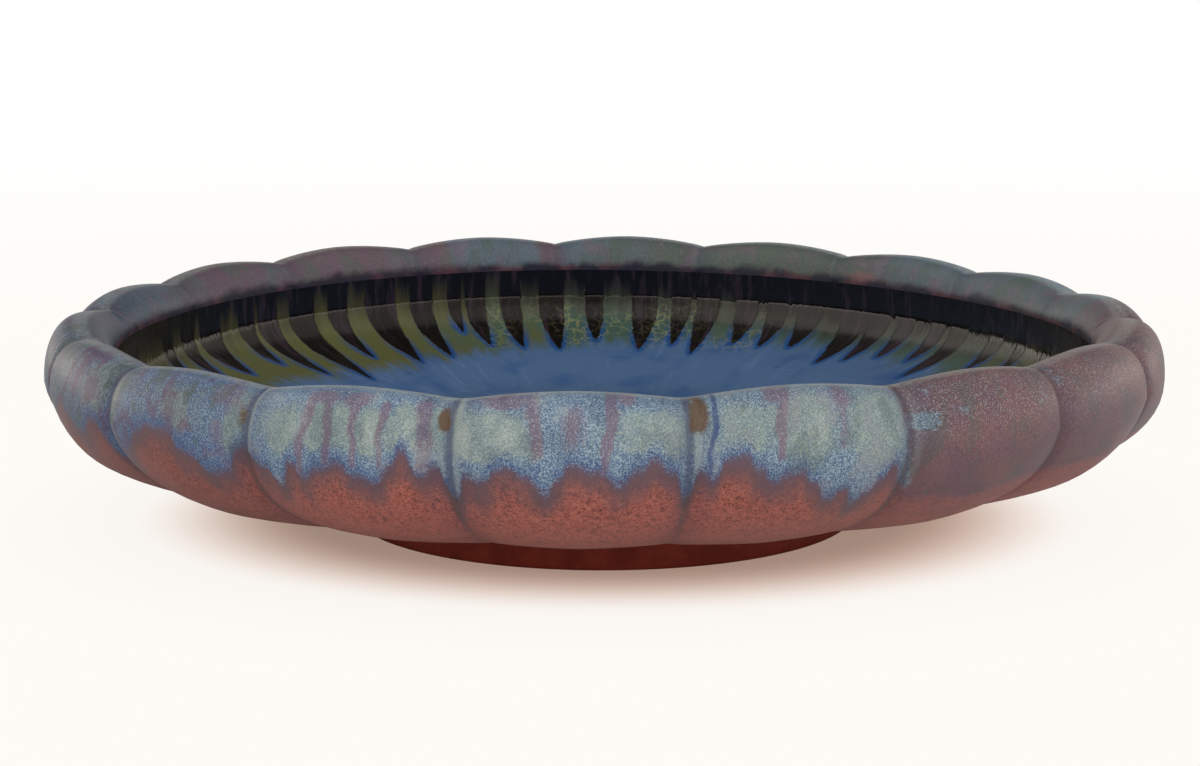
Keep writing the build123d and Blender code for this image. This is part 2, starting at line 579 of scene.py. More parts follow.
@dataclass
class Turned:
    """A piece that is spun round the basin's axis from an outline and then pressed into its last form."""

    name: str
    node: str
    slot: str
    columns: int
    wedges: int = 18
    weld: float = 0.001
    sharp: float = 35.0
    fine_rows: int = 601

    # The station of a point that lies off the section, and a distance that clears every edge in the glaze
    off_section: float = -1.0
    clear: float = 30.0

    # Sizes that neighbouring pieces share
    rim_height: float = 69.4
    lip_radius: float = 157.6
    lip_height: float = 57.8
    foot_inner: float = 71.0
    foot_outer: float = 83.0
    foot_height: float = 15.1

    # The real pot sagged a little in the kiln: how far, and towards which angle its rim stands high
    sag: float = 1.57
    sag_angle: float = 21.2

    def plain(self, corners: Iterable[tuple[float, float]]) -> list[Triple]:
        """Rows of an outline that lie off the section."""
        return [(radius, height, self.off_section) for radius, height in corners]

    def spin(self, outline: list[Triple]) -> tuple[bpy.types.Object, Array, Array, Array, Array]:
        """Spins an outline into a piece.

        Args:
            outline: Radius, height and station of each of its points, from the axis or round a ring.

        Returns:
            The piece, and the angle, radius, height and station of each of its vertices.
        """
        shape = bmesh.new()
        layer = shape.verts.layers.float.new("station")
        points = []
        for radius, height, station in outline:
            points.append(shape.verts.new((0.0, -radius * MM, height * MM)))
            points[-1][layer] = station
        edges = [shape.edges.new(pair) for pair in zip(points, points[1:])]
        if outline[0][0] > 0.0:
            edges.append(shape.edges.new((points[-1], points[0])))
        wedge = math.tau / self.wedges
        bmesh.ops.spin(
            shape,
            geom=points + edges,
            cent=(0, 0, 0),
            axis=(0, 0, 1),
            dvec=(0, 0, 0),
            angle=wedge,
            steps=self.columns // self.wedges,
            use_merge=False,
            use_duplicate=False,
        )
        mesh = bpy.data.meshes.new(self.name)
        shape.to_mesh(mesh)
        for _ in range(1, self.wedges):
            bmesh.ops.rotate(shape, verts=shape.verts, cent=(0, 0, 0), matrix=Matrix.Rotation(wedge, 3, "Z"))
            shape.from_mesh(mesh)
        bmesh.ops.remove_doubles(shape, verts=shape.verts, dist=self.weld * MM)
        bmesh.ops.recalc_face_normals(shape, faces=shape.faces)
        for face in shape.faces:
            face.smooth = True
        for edge in shape.edges:
            edge.smooth = edge.calc_face_angle(0.0) < math.radians(self.sharp)
        shape.to_mesh(mesh)
        shape.free()
        places = np.empty(len(mesh.vertices) * 3)
        mesh.vertices.foreach_get("co", places)
        aside, depth, height = places.reshape(-1, 3).T / MM
        stations = np.empty(len(mesh.vertices), dtype=np.float32)
        mesh.attributes["station"].data.foreach_get("value", stations)
        angle = np.degrees(np.arctan2(aside, -depth))
        return put(self.name, mesh), angle, np.hypot(aside, depth), height, stations.astype(float)

    def place(self, piece: bpy.types.Object, angle: Array, radius: Array, height: Array) -> None:
        """Moves the vertices into place, with the sag that the rim has.

        Args:
            piece: The piece.
            angle: The angle of each vertex.
            radius: Its radius.
            height: Its height before the sag.
        """
        lift = self.sag * np.cos(2 * np.radians(angle - self.sag_angle)) * height / self.rim_height
        piece.data.vertices.foreach_set("co", round_axis(angle, radius, height + lift).ravel() * MM)
        piece.data.update()

    @staticmethod
    def carry(piece: bpy.types.Object, **fields: Array) -> None:
        """Stores what the finish reads at each vertex.

        Args:
            piece: The piece.
            fields: A number or a place for each vertex, under the field's name.
        """
        for name, values in fields.items():
            kind, part = ("FLOAT", "value") if values.ndim == 1 else ("FLOAT_VECTOR", "vector")
            layer = piece.data.attributes.new(name, kind, "POINT")
            layer.data.foreach_set(part, values.astype(np.float32).ravel())

    def dress(self, piece: bpy.types.Object, material: bpy.types.Material) -> None:
        """Gives the piece its finish and its place in the part.

        Args:
            piece: The piece.
            material: Its finish.
        """
        piece.data.materials.append(material)
        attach(piece, "root")
        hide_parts(self.node)
        LOG.info("%s: %d faces, for %s", piece.name, len(piece.data.polygons), self.node)


@dataclass
class LobedWall(Turned):
    """The stoneware body: eighteen puffed lobes round a floor, with the run glaze on its outside and rim."""

    name: str = "lobed_wall"
    node: str = "lobed_basin"
    slot: str = "outer_glaze"
    columns: int = 1152

    groove_angles: tuple = (-170.0, -150.0, -130.0, -110.0, -90.0, -70.0, -50.0, -30.0, -9.9, 10.7, 31.0, 50.0,
                            70.0, 90.0, 110.0, 130.0, 150.0, 170.0)
    belly_radius: float = 180.0
    belly_height: float = 51.1
    groove_depth: float = 1.5
    groove_power: float = 4.0
    under_run: float = 19.4
    under_rise: float = 1.8
    under_press: float = 10.7
    under_power: float = 1.3
    crease_depth: float = 1.3
    crease_width: float = 2.0
    crest_radius: float = 168.8
    crest_press: float = 1.72
    rim_dip: float = 2.8
    dip_power: float = 1.8
    shoulder_power: float = 2.3
    base_recess: float = 1.0
    under_rows: int = 28
    shoulder_rows: int = 22
    lip_rows: int = 14

    # The marks waver by a few waves, each with its reach and its pace up the wall and round it, and end at the crest
    sways: tuple[Triple, ...] = ((0.16, 0.33, 0.7), (0.08, 0.8, -1.9))
    mark_fade: float = 0.12

    @property
    def half_lobe(self) -> float:
        """Half the width of a lobe at the belly."""
        return math.pi * self.belly_radius / len(self.groove_angles)

    def across(self, angle: Array) -> Array:
        """Where each angle lies on its lobe, from -1 in one groove to 1 in the next."""
        ends = np.array((*self.groove_angles, self.groove_angles[0] + 360.0))
        return 2.0 * gap_at(ends, angle)[1] - 1.0

    def outline(self, station: Array, across: Array) -> tuple[Array, Array]:
        """The wall's section: the underside, the shoulder from the belly on, and the lip from the crest on.

        Args:
            station: Where along the section.
            across: Where on the lobe, from groove to groove.

        Returns:
            Radius and height.
        """
        side = np.abs(across)
        crease = self.crease_depth * np.exp(-(((1.0 - side) * self.half_lobe / self.crease_width) ** 2))
        belly = self.belly_radius - self.groove_depth * side**self.groove_power
        crest = self.crest_radius - self.crest_press * side**2
        top = self.rim_height - self.rim_dip * side**self.dip_power

        # Under the belly
        share = np.clip(station, 0, 1)
        pressed = belly - self.under_press * side**self.under_power
        radius = bezier((self.foot_outer, self.foot_outer + self.under_run, pressed, belly), share)
        radius -= crease * share**2
        low = self.foot_height
        height = bezier((low, low, low + self.under_rise, self.belly_height), share)

        # Over the shoulder
        turn = np.radians(90.0) * np.clip(station - Leg.BELLY, 0, 1)
        power = 2.0 / self.shoulder_power
        above = station > Leg.BELLY
        radius = np.where(above, crest + (belly - crest) * np.cos(turn) ** power - crease, radius)
        height = np.where(above, self.belly_height + (top - self.belly_height) * np.sin(turn) ** power, height)

        # Down to the lip
        turn = np.radians(90.0) * np.clip(station - Leg.CREST, 0, 1)
        inside = station > Leg.CREST
        inward = crease * np.cos(turn) + (crest - self.lip_radius) * np.sin(turn)
        radius = np.where(inside, crest - inward, radius)
        height = np.where(inside, self.lip_height + (top - self.lip_height) * np.cos(turn), height)
        return radius, height

    def build(self) -> bpy.types.Object:
        """Spins the section, presses the grooves in and stores what the glaze needs.

        Returns:
            The wall.
        """
        stations = stations_of(self.under_rows, self.shoulder_rows, self.lip_rows)
        base = self.foot_height + self.base_recess
        under = ((0.0, base), (self.foot_inner, base), (self.foot_inner, self.foot_height))
        shown = zip(*self.outline(stations, np.zeros_like(stations)), stations)
        inner = (*HOLLOW, (0.0, HOLLOW[-1][1]))
        piece, angle, radius, height, station = self.spin([*self.plain(under), *shown, *self.plain(inner)])
        across = self.across(angle)
        radius, height = np.where(station < 0, (radius, height), self.outline(station, across))
        self.place(piece, angle, radius, height)
        self.store(piece, angle, height, station, across)
        return piece

    def store(self, piece: bpy.types.Object, angle: Array, height: Array, station: Array, across: Array) -> None:
        """Stores the fields of the run glaze.

        Args:
            piece: The wall.
            angle: The angle of each vertex.
            height: Its height.
            station: Its station on the section.
            across: -1 in one groove to 1 in the next.
        """
        fine = np.linspace(0, Leg.LIP, self.fine_rows)
        travel = travel_along(*self.outline(fine, np.zeros_like(fine)))
        down = np.interp(Leg.CREST, fine, travel) - np.interp(station, fine, travel)
        front = np.mod(angle + 90.0, 180.0) - 90.0
        inside = station > Leg.CREST
        self.carry(
            piece,
            flow=round_axis(angle, self.crest_radius, down),
            down=down,
            level=height,
            edge=np.where(station < Leg.CREST, height - line_through(FLOW_EDGE, front, 2), self.clear),
            lip=np.where(inside, down - down.min(), self.clear),
            groove=np.where(across < 0, across + 1.0, across - 1.0) * self.half_lobe,
            side=line_through(MAUVE_SIDE, angle),
            verdure=line_through(GREEN_SIDE, angle),
            thin=line_through(DIM_SIDE, angle),
            azure=line_through(AZURE_SIDE, angle),
            blush=BLUSH.weight(angle, height, self.lip_radius) * inside,
        )
        sway = front + sum(reach * np.sin(height * rise + front * turn) for reach, rise, turn in self.sways)
        outside = np.clip(1.0 - (station - Leg.CREST) / self.mark_fade, 0.0, 1.0)
        for tone, marks in MARKS.items():
            strongest = np.max([mark.weight(sway, height, self.crest_radius) for mark in marks], axis=0)
            self.carry(piece, **{tone.value: strongest * outside})


@dataclass
class InnerGlass(Turned):
    """The glass inside: black and olive down the wall, running into blue on the slope and the floor."""

    name: str = "wall_glass"
    node: str = "wall_glaze"
    slot: str = "dark_glaze"
    columns: int = 1080
    clear: float = 40.0
    band_foot: float = 49.0
    curve: Pairs = ((157.6, 40.5), (147.0, 36.6), (134.0, 33.2))
    slope: Pairs = ((119.0, 29.7), (104.5, 24.9))
    shore_radius: float = 95.8
    pool_height: float = 24.3
    wall_rows: int = 12
    cove_rows: int = 44
    slope_rows: int = 20

    # How far below the lip the tongues start, and the share past which their tips have ended
    tongue_start: float = 4.0
    tongue_end: float = 1.5

    def outline(self, station: Array) -> tuple[Array, Array]:
        """The glass's section: upright band at station 0 to 1, curve to 2, slope to 3.

        Args:
            station: Where along the section.

        Returns:
            Radius and height.
        """
        band = np.clip(station, 0, 1)
        radius = np.full_like(band, self.lip_radius)
        height = self.lip_height + (self.band_foot - self.lip_height) * band
        shore = (self.shore_radius, self.pool_height)
        legs = (((self.lip_radius, self.band_foot), *self.curve), (self.curve[-1], *self.slope, shore))
        for number, points in enumerate(legs, start=1):
            share = np.clip(station - number, 0, 1)
            radii, heights = zip(*points)
            radius = np.where(station > number, bezier(radii, share), radius)
            height = np.where(station > number, bezier(heights, share), height)
        return radius, height

    def build(self) -> bpy.types.Object:
        """Spins the glass on the wall and the slope and stores what its finish needs.

        Returns:
            The glass.
        """
        stations = stations_of(self.wall_rows, self.cove_rows, self.slope_rows)
        shown = zip(*self.outline(stations), stations)
        piece, angle, radius, height, _ = self.spin([*shown, *self.plain(reversed(HOLLOW))])
        self.place(piece, angle, radius, height)
        self.store(piece, angle, radius, height)
        return piece

    def store(self, piece: bpy.types.Object, angle: Array, radius: Array, height: Array) -> None:
        """Stores the fields of the glass.

        Args:
            piece: The glass on the wall or in the pool.
            angle: The angle of each vertex.
            radius: Its radius.
            height: Its height.
        """
        radii, heights = self.outline(np.linspace(0, 3, self.fine_rows))
        travel = travel_along(radii, heights)
        on_wall = np.interp(-height, -heights, travel)
        down = np.where(radius < self.shore_radius, travel[-1] + self.shore_radius - radius, on_wall)
        back = np.where(np.abs(angle) < 90.0, np.mod(angle, 360.0) - 180.0, angle)
        ink = np.full_like(angle, -self.clear)
        tip = np.zeros_like(angle)
        for tongue in TONGUES:
            reach = np.interp(-tongue.tip_radius, -radii, travel)
            share = np.maximum((down - self.tongue_start) / (reach - self.tongue_start), 0.0)
            inside = tongue.inside(arc_between(back, tongue.angle, self.lip_radius), share, down - reach)
            tip = np.where(inside > ink, np.minimum(share, self.tongue_end), tip)
            ink = np.maximum(inside, ink)
        self.carry(
            piece,
            flow=round_axis(angle, self.lip_radius, down),
            down=down,
            ink=ink,
            tip=tip,
            tide=line_through(TIDE, back),
            teal=line_through(TEAL_SIDE, back),
            band=line_through(BAND, back),
            crazed=line_through(CRAZED, back),
        )


@dataclass
class Pool(InnerGlass):
    """The level pool of blue glass on the floor."""

    name: str = "floor_glass"
    node: str = "floor_glaze"
    slot: str = "blue_glaze"
    columns: int = 360
    rows: int = 20
    shore_gap: float = 0.01

    def build(self) -> bpy.types.Object:
        """Spins the pool and stores what its finish needs.

        Returns:
            The pool.
        """
        floor = HOLLOW[-1]
        level = [(radius, self.pool_height) for radius in np.linspace(self.shore_radius, 0, self.rows)]
        piece, angle, radius, height, _ = self.spin(self.plain([(0.0, floor[1]), floor, *level]))
        self.place(piece, angle, radius, height)
        self.store(piece, angle, np.minimum(radius, self.shore_radius - self.shore_gap), height)
        return piece


@dataclass
class FootRing(Turned):
    """The dark foot ring that the basin stands on."""

    name: str = "foot"
    node: str = "foot_ring"
    slot: str = "bare_clay"
    columns: int = 360
    edge: float = 1.4
    edge_rows: int = 5
    side_rows: int = 8

    def build(self) -> bpy.types.Object:
        """Spins the ring, with rounded edges on the table.

        Returns:
            The ring.
        """
        turn = np.radians(np.linspace(0.0, 90.0, self.edge_rows))
        rising, falling = self.edge * (1.0 - np.cos(turn)), self.edge * (1.0 - np.sin(turn))
        inner = zip(self.foot_inner + rising, falling)
        outer = zip(self.foot_outer - falling, rising)
        side = [(self.foot_outer, high) for high in np.linspace(self.edge, self.foot_height, self.side_rows + 1)[1:]]
        outline = self.plain([(self.foot_inner, self.foot_height), *inner, *outer, *side])
        piece, angle, _, height, _ = self.spin(outline)
        self.carry(piece, flow=round_axis(angle, self.foot_outer, height))
        return piece


@dataclass(frozen=True)
class Finish:
    """A finish: its name, its roughness, how it bends light, and how strong and deep its fine relief is."""

    name: str
    roughness: float
    refraction: float
    relief: float
    depth: float

    def sheet(self) -> Sheet:
        """Starts the finish's material."""
        return Sheet(bpy.data.materials.new(self.name))

    def close(self, sheet: Sheet, colour: Colour, rough: Value, height: Wire) -> bpy.types.Material:
        """Makes the surface.

        Args:
            sheet: The material's sheet.
            colour: Its colour.
            rough: Its roughness.
            height: Its fine relief.

        Returns:
            The material.
        """
        sockets = {"Strength": self.relief, "Distance": self.depth * MM, "Height": height}
        bump = sheet.node("ShaderNodeBump", {}, sockets, "Normal")
        sockets = {"Base Color": colour, "Roughness": rough, "Normal": bump, "IOR": self.refraction}
        return sheet.finish(sheet.node("ShaderNodeBsdfPrincipled", {}, sockets))


@dataclass(frozen=True)
class Grains:
    """The noises in the run glaze, from 0 to 1, apart from the ragged one, which is round 0."""

    ragged: Wire
    grain: Wire
    fleck: Wire
    cloud: Wire
    drawn: Wire
    mottle: Wire


@dataclass(frozen=True)
class RunGlaze(Finish):
    """The outside: a crystalline blue and green flow over a matte brick-red glaze."""

    name: str = "run_glaze"
    roughness: float = 0.4
    refraction: float = 1.38
    relief: float = 0.3
    depth: float = 0.6
    brick: Tint = Tint(160, 86, 72)
    ember: Tint = Tint(184, 110, 96)
    soot: Tint = Tint(84, 48, 46)
    painted_low_light: Tint = Tint(176, 118, 104)
    plum: Tint = Tint(96, 76, 82)
    deep: Tint = Tint(58, 75, 118)
    sky: Tint = Tint(108, 130, 146)
    frost: Tint = Tint(180, 196, 202)
    celadon: Tint = Tint(132, 147, 139)
    cream: Tint = Tint(181, 188, 178)
    mauve: Tint = Tint(116, 90, 108)
    dusk: Tint = Tint(101, 77, 80)
    clay: Tint = Tint(118, 83, 80)
    rust: Tint = Tint(92, 64, 34)
    slate: Tint = Tint(89, 102, 110)
    ash: Tint = Tint(79, 86, 71)
    haze: Tint = Tint(106, 85, 88)
    gloom: Tint = Tint(40, 46, 74)
    seam: Tint = Tint(66, 70, 98)
    azure: Tint = Tint(64, 103, 164)
    wine: Tint = Tint(112, 80, 102)
    moss: Tint = Tint(98, 112, 92)
    navy: Tint = Tint(24, 20, 40)
    maroon: Tint = Tint(84, 44, 52)
    blush: Tint = Tint(132, 94, 94)
    shade: Tint = Tint(86, 70, 68)

    def material(self) -> bpy.types.Material:
        """Builds the finish.

        Returns:
            The material.
        """
        sheet = self.sheet()
        flow = sheet.vector("flow")
        fleck = sheet.noise(flow, 1.3, 3.0, 0.7)
        noise = Grains(
            ragged=sheet.noise(flow, 5.0, 4.0, 0.55) - 0.5,
            grain=sheet.noise(flow, 0.42, 1.0, 0.6),
            fleck=fleck,
            cloud=sheet.noise(flow, 15.0, 4.0, 0.55),
            drawn=sheet.noise(sheet.stretch(flow, 0.2), 3.4, 4.0, 0.6),
            mottle=sheet.noise(sheet.stretch(flow, 0.6), 7.0, 4.0, 0.6) + fleck.swing(0.15),
        )
        reach = sheet.field("edge") + noise.ragged * 2.6
        edge = reach + noise.grain.swing(6.0) + fleck.swing(3.0)
        upper = self.sides(sheet, noise, self.flow(sheet, noise, edge))
        colour = sheet.mix(self.below(sheet, noise, reach), upper, edge.step(-0.9, 0.9))
        colour = self.marks(sheet, noise, colour, edge)
        relief = edge.step(-1.0, 1.6) * 0.4 + noise.grain * 0.12 + noise.cloud * 0.3
        return self.close(sheet, colour, self.roughness + fleck.swing(0.2), relief)

    def below(self, sheet: Sheet, noise: Grains, reach: Wire) -> Colour:
        """The brick red below the flow, with soot and ember specks, a plum halo above and painted light that turns it
        paler towards the foot.

        Args:
            sheet: The material's sheet.
            noise: The noises.
            reach: Height above the flow's edge.

        Returns:
            The colour.
        """
        grain, fleck, cloud = noise.grain, noise.fleck, noise.cloud
        level = sheet.field("level") + cloud.swing(12.0)
        halo = (reach + noise.ragged * 5.0 + grain.swing(5.0) + cloud.swing(14.0)).step(-12.0, -1.0)
        dusty = sheet.mix(self.plum, self.deep, reach.step(-3.0, 0.5) * 0.35)
        return sheet.coat(
            self.brick,
            # Painted light: paler towards the bottom of the red, near the foot
            (self.painted_low_light, level.step(34.0, 19.0) * 0.7),
            (self.ember, fleck.step(0.5, 0.62) * 0.5 + grain.step(0.52, 0.42) * 0.4),
            (self.soot, fleck.step(0.46, 0.37) * 0.6 + grain.step(0.54, 0.64) * 0.65),
            # Darker where the thin field is high, partly painted shade on the left
            (self.soot, sheet.field("thin") * 0.35),
            (dusty, halo * (0.92 - sheet.field("side") * 0.55)),
        )

    def flow(self, sheet: Sheet, noise: Grains, edge: Wire) -> Colour:
        """The flow: blue with celadon where it is thick, frost grains, cream patches that are painted sheen, and mauve
        runs.

        Args:
            sheet: The material's sheet.
            noise: The noises.
            edge: Height above the flow's frayed edge.

        Returns:
            The colour.
        """
        grain, fleck, cloud, drawn = noise.grain, noise.fleck, noise.cloud, noise.drawn
        blue = sheet.coat(
            self.sky,
            (self.deep, drawn.step(0.5, 0.72) * 0.35),
            (self.deep, edge.step(3.6, 0.2) * 0.72),
            (self.deep, grain.step(0.48, 0.38) * 0.7),
            (self.azure, sheet.field("azure")),
            (self.frost, grain.step(0.51, 0.61) * (0.24 + edge.step(0.5, 8.0) * 0.34)),
        )
        thick = sheet.coat(
            self.celadon,
            (self.cream, cloud.step(0.48, 0.7) * 0.2 + grain.step(0.53, 0.63) * 0.5),
            (self.sky, grain.step(0.48, 0.38) * 0.8),
        )
        pink = sheet.mix(self.mauve, self.frost, grain.step(0.58, 0.68) * 0.4)
        level = sheet.field("level")
        middle = level.step(51.0, 57.0) * level.step(68.0, 64.0)
        green = sheet.field("green") + sheet.field("verdure") * 0.5 + middle * (drawn - 0.3) * 1.2
        green = green + cloud.swing(0.6) + fleck.swing(0.5)
        # Painted sheen: cream where the front lobes catch the light
        pale = sheet.field("pale") + fleck.swing(0.5)
        runs = sheet.field("mauve") + fleck.swing(0.9) + drawn.swing(0.4)
        return sheet.coat(
            blue,
            (thick, green.step(0.1, 0.75) * edge.step(1.0, 6.0) * 0.92),
            (self.cream, pale.step(0.2, 1.0) * (0.35 + grain.step(0.46, 0.58) * 0.35)),
            (pink, runs.step(0.2, 0.75) * 0.7),
        )

    def sides(self, sheet: Sheet, noise: Grains, colour: Colour) -> Colour:
        """Turns the flow dusky on one side, duller on the inside of the rim, and mottled where it is worn.

        Args:
            sheet: The material's sheet.
            noise: The noises.
            colour: The flow so far.

        Returns:
            The colour.
        """
        grain, fleck, cloud, drawn, mottle = noise.grain, noise.fleck, noise.cloud, noise.drawn, noise.mottle
        dusk = sheet.coat(
            self.dusk,
            (self.clay, cloud.step(0.4, 0.62)),
            (self.brick, fleck.step(0.52, 0.66) * 0.3),
            (self.soot, grain.step(0.47, 0.36) * 0.3 + fleck.step(0.46, 0.34) * 0.3),
            (self.frost, grain.step(0.56, 0.68) * sheet.field("level").step(44.0, 66.0) * 0.5),
        )
        bared = sheet.field("frost") * 0.9 + fleck.swing(2.0) + drawn.swing(0.8)
        side = sheet.field("side") + drawn.swing(0.4) + cloud.swing(0.4) - bared.step(0.25, 0.95) * 0.8
        verdure = sheet.field("verdure") + cloud.swing(0.7) + fleck.swing(0.3)
        slope = sheet.coat(
            self.slate,
            (self.ash, verdure.step(0.2, 0.7)),
            (self.haze, side.step(0.2, 0.7) * 0.9),
            (self.frost, grain.step(0.52, 0.66) * 0.12),
        )
        # The thin field darkens the glaze, partly as painted shade on the far left lobes and the back rim
        thin = sheet.field("thin")
        inner = sheet.field("down").step(1.0, -4.0)
        worn = (thin * (0.9 - inner * 0.4)).top(inner * 0.5)
        gloom = thin + fleck.swing(0.5) + cloud.swing(0.5)
        return sheet.coat(
            colour,
            (dusk, side.step(0.25, 0.75) * 0.95),
            (slope, inner * 0.9),
            (self.gloom, mottle.step(0.49, 0.36) * 0.24),
            (self.cream, mottle.step(0.53, 0.68) * (1.0 - worn) * side.step(0.6, 0.1) * 0.3),
            (self.wine, mottle.step(0.5, 0.6) * worn * 0.82),
            (self.moss, mottle.step(0.47, 0.38) * worn * 0.75),
            (self.gloom, gloom.step(0.0, 1.4) * (0.4 + grain.step(0.54, 0.42) * 0.3)),
        )

    def marks(self, sheet: Sheet, noise: Grains, colour: Colour, edge: Wire) -> Colour:
        """Adds painted shade towards each groove, a dark line in each groove that is partly pooled glaze and partly
        painted shade, a painted highlight beside each groove, a pale crest line that is partly thin glaze and partly
        painted highlight, the thin spots, the crack and the inky fringe at the lip.

        Args:
            sheet: The material's sheet.
            noise: The noises.
            colour: The glaze so far.
            edge: Height above the flow's frayed edge.

        Returns:
            The colour.
        """
        ragged, fleck, cloud = noise.ragged, noise.fleck, noise.cloud
        down = sheet.field("down")
        aside = sheet.field("groove") + ragged * 1.2
        away = abs(aside)
        flowed = edge.step(-1.0, 2.0) * (1.0 - sheet.field("side"))
        outer = down.step(-3.0, 1.0) * sheet.field("level").step(22.0, 36.0)
        # Painted highlight: a pale line beside each groove, where the rolled edge of the lobe catches the light
        ridge_highlight = aside.step(0.9, 1.8) * aside.step(4.0, 2.2) * flowed
        # A pale line along the crest, partly thin glaze and partly painted highlight
        crest = down.step(3.5, 0.5) * down.step(-4.0, -1.5)
        rust = sheet.field("rust") + fleck.swing(0.6)
        crack = sheet.field("crack") + fleck.swing(0.6)
        blush = sheet.field("blush") + fleck.swing(0.6) + ragged * 0.8
        fringe = sheet.field("lip") + ragged * 3.5 + cloud.swing(6.0)
        line = sheet.mix(self.shade, self.seam, flowed)
        inky = sheet.mix(self.navy, self.maroon, cloud.step(0.46, 0.62) * 0.8)
        return sheet.coat(
            colour,
            # Painted shade: darker towards each groove
            (self.gloom, away.step(11.0, 0.0) * 0.22),
            # A dark line in each groove, partly pooled glaze and partly painted shade
            (line, away.step(1.7, 0.4) * (0.12 + outer * 0.5)),
            # Painted highlight beside each groove
            (self.cream, ridge_highlight * (0.06 + outer * 0.24)),
            # Pale crest line: partly thin glaze, partly painted highlight
            (self.cream, crest * (0.1 + fleck.step(0.4, 0.62) * 0.25)),
            (self.rust, rust.step(0.3, 0.7) * 0.85),
            (self.deep, crack.step(0.5, 0.85) * 0.8),
            (self.blush, blush.step(0.2, 0.8) * 0.8),
            (inky, fringe.step(4.6, 0.8) * 0.95),
        )


@dataclass(frozen=True)
class InkGlass(Finish):
    """The inside: glossy black over olive, with cobalt round the black tongues and blue on the floor."""

    name: str = "ink_glass"
    roughness: float = 0.07
    refraction: float = 1.5
    relief: float = 0.5
    depth: float = 1.2
    floor_roughness: float = 0.3
    craze_size: float = 4.6
    craze_jolt: float = 4.0
    jolt_grain: float = 0.45
    ink: Tint = Tint(13, 10, 10)
    umber: Tint = Tint(46, 38, 26)
    olive: Tint = Tint(90, 92, 54)
    teal: Tint = Tint(68, 90, 80)
    cobalt: Tint = Tint(16, 70, 132)
    steel: Tint = Tint(77, 106, 144)
    pale: Tint = Tint(120, 144, 186)
    straw: Tint = Tint(160, 154, 96)
    violet: Tint = Tint(48, 34, 44)

    def crazing(self, sheet: Sheet, flow: Wire) -> Wire:
        """Draws the net of fine cracks.

        Args:
            sheet: The material's sheet.
            flow: The place on the wall.

        Returns:
            1 on a crack and 0 between them.
        """
        sockets = {"Vector": flow, "Scale": self.jolt_grain, "Detail": 2.0}
        jolt = sheet.node("ShaderNodeTexNoise", {}, sockets, "Color")
        sockets = {0: jolt, 1: (self.craze_jolt,) * 3, 2: flow}
        bent = sheet.node("ShaderNodeVectorMath", {"operation": "MULTIPLY_ADD"}, sockets)
        sockets = {"Vector": bent, "Scale": 1.0 / self.craze_size}
        cells = sheet.node("ShaderNodeTexVoronoi", {"feature": "DISTANCE_TO_EDGE"}, sockets, "Distance")
        return cells.step(0.08, 0.02)

    def material(self) -> bpy.types.Material:
        """Builds the finish.

        Returns:
            The material.
        """
        sheet = self.sheet()
        flow = sheet.vector("flow")
        streaky = sheet.stretch(flow, 0.16)
        drawn = sheet.noise(streaky, 3.5, 4.0, 0.6)
        ragged = sheet.noise(streaky, 1.8, 3.0, 0.6) - 0.5
        cloud = sheet.noise(flow, 18.0, 3.0, 0.5)
        speck = sheet.noise(flow, 1.4, 2.0, 0.6)
        down = sheet.field("down")
        past_band = down - sheet.field("band")

        # Olive between the tongues, teal on one side, and the blue that ran to the floor
        teal = sheet.field("teal") + cloud.swing(1.2)
        tide = down - sheet.field("tide") + drawn.swing(26.0) + ragged * 5.0
        blue = sheet.coat(
            self.steel,
            (self.cobalt, cloud.step(0.48, 0.7) * 0.42),
            (self.pale, drawn.step(0.55, 0.75) * 0.3 + speck.step(0.7, 0.76) * 0.5),
        )

        # The black tongues with their cobalt tips, the black under the lip and the cracks in the olive
        ink = sheet.field("ink") + ragged * 2.4
        halo = ink.step(-3.4, -0.3) * sheet.field("tip").step(0.4, 0.9)
        band = (past_band + drawn.swing(14.0) + ragged * 3.0).step(3.0, -5.0)
        covered = ink.step(-0.4, 0.4).top(band)
        black = sheet.mix(self.ink, self.violet, drawn.step(0.5, 0.66) * 0.85)
        crazed = sheet.field("crazed") * down.step(48.0, 36.0) * down.step(8.0, 16.0) * cloud.step(0.4, 0.62)
        colour = sheet.coat(
            self.olive,
            (self.teal, teal.step(0.2, 0.8)),
            (self.umber, (past_band + drawn.swing(16.0)).step(16.0, 0.0) * 0.8),
            (blue, tide.step(-7.0, 7.0)),
            (self.cobalt, halo * 0.95),
            (black, covered),
            (self.straw, self.crazing(sheet, flow) * crazed * (0.45 - covered * 0.35)),
        )
        rough = self.roughness + down.step(26.0, 60.0) * (self.floor_roughness - self.roughness)
        return self.close(sheet, colour, rough, covered * 0.8 + drawn * 0.7)


@dataclass(frozen=True)
class FootClay(Finish):
    """The foot: dark maroon slip, flecked with worn bare clay."""

    name: str = "foot_clay"
    roughness: float = 0.62
    refraction: float = 1.3
    relief: float = 0.3
    depth: float = 0.4
    maroon: Tint = Tint(150, 62, 45)
    dark: Tint = Tint(118, 44, 34)
    worn: Tint = Tint(132, 72, 54)

    def material(self) -> bpy.types.Material:
        """Builds the finish.

        Returns:
            The material.
        """
        sheet = self.sheet()
        flow = sheet.vector("flow")
        cloud = sheet.noise(flow, 12.0, 4.0, 0.6)
        grain = sheet.noise(flow, 0.9, 3.0, 0.7)
        colour = sheet.coat(
            self.maroon,
            (self.dark, cloud.step(0.4, 0.65) * 0.7),
            (self.worn, grain.step(0.58, 0.72) * 0.3),
        )
        return self.close(sheet, colour, self.roughness, grain)


